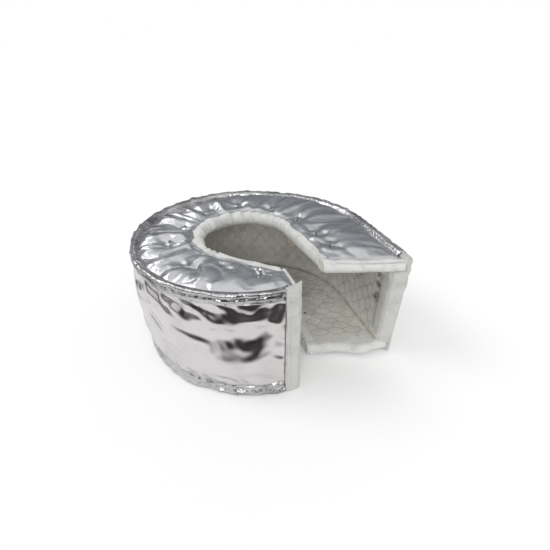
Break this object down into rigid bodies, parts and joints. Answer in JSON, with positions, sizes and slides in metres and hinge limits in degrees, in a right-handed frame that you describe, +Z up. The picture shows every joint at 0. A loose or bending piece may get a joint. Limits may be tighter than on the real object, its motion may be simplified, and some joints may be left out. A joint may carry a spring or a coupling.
{
  "type": "turbo heat blanket",
  "caption": "C-shaped padded heat jacket of aluminised cloth with a grey lining, a hole through its top and bottom and an open mouth, which wraps a turbine housing.",
  "frame": {"origin": "middle of the underside of the whole blanket", "axes": "+Z up, square to the two panels; the open mouth faces -Y; +X towards the straight far arm"},
  "size_m": [0.2084, 0.1954, 0.0985],
  "materials": {
    "foil": "aluminised glass cloth, mirror bright with a fine woven stipple and soft creases",
    "foil_seam": "the same aluminised cloth, gathered and crumpled",
    "lining": "matt grey glass cloth with a fine steel wire mesh",
    "tape": "white woven glass cloth tape",
    "mat": "needled glass fibre mat",
    "thread": "dark steel sewing thread"
  },
  "bodies": {
    "root": {"wall_cover": "foil", "wall_insulation": "mat", "wall_lining": "lining", "top_cover": "foil", "top_insulation": "mat", "top_lining": "lining", "bottom_cover": "foil", "bottom_insulation": "mat", "bottom_lining": "lining", "top_opening_binding": "tape", "bottom_opening_binding": "tape", "wall_near_binding": "tape", "wall_far_binding": "tape", "top_near_binding": "tape", "top_far_binding": "tape", "bottom_near_binding": "tape", "bottom_mouth_binding": "tape", "top_outer_seam": "foil_seam", "bottom_outer_seam": "foil_seam", "top_tack_1": "thread", "top_tack_2": "thread", "top_tack_3": "thread", "top_tack_4": "thread", "top_tack_5": "thread", "top_tack_6": "thread", "top_tack_7": "thread", "top_tack_8": "thread", "top_tack_9": "thread", "top_tack_10": "thread", "top_tack_11": "thread", "bottom_tack_1": "thread", "bottom_tack_2": "thread", "bottom_tack_3": "thread", "bottom_tack_4": "thread", "bottom_tack_5": "thread", "bottom_tack_6": "thread"}
  },
  "joints": []
}
